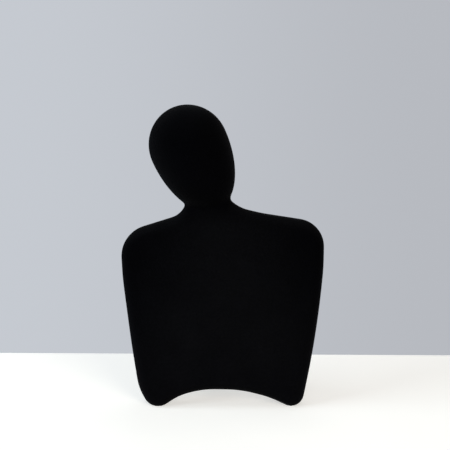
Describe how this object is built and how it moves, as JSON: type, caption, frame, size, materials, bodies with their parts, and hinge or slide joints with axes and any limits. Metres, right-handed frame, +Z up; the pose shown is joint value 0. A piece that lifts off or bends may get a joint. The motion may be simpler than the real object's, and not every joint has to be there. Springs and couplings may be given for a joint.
{
  "type": "necklace display stand",
  "caption": "Leaning head-and-shoulders necklace display with a tilted blank egg head, rounded shoulders, an arched lower edge, a matt black flocked finish and a bent rear leg.",
  "frame": {"origin": "on the table, under the middle of the whole stand's bounding box", "axes": "+Z up from the table; +X to the right of a viewer facing the stand; +Y away from that viewer, towards the rear leg"},
  "size_m": [0.2038, 0.107, 0.3002],
  "materials": {
    "flock": "short matt black flock over a one-piece moulding",
    "leg_coat": "fine-textured satin black powder coat on steel strip",
    "screw_steel": "zinc-plated"
  },
  "bodies": {
    "root": {"bust_body": "flock", "rear_leg": "leg_coat", "leg_screw_upper": "screw_steel", "leg_screw_lower": "screw_steel"}
  },
  "joints": []
}
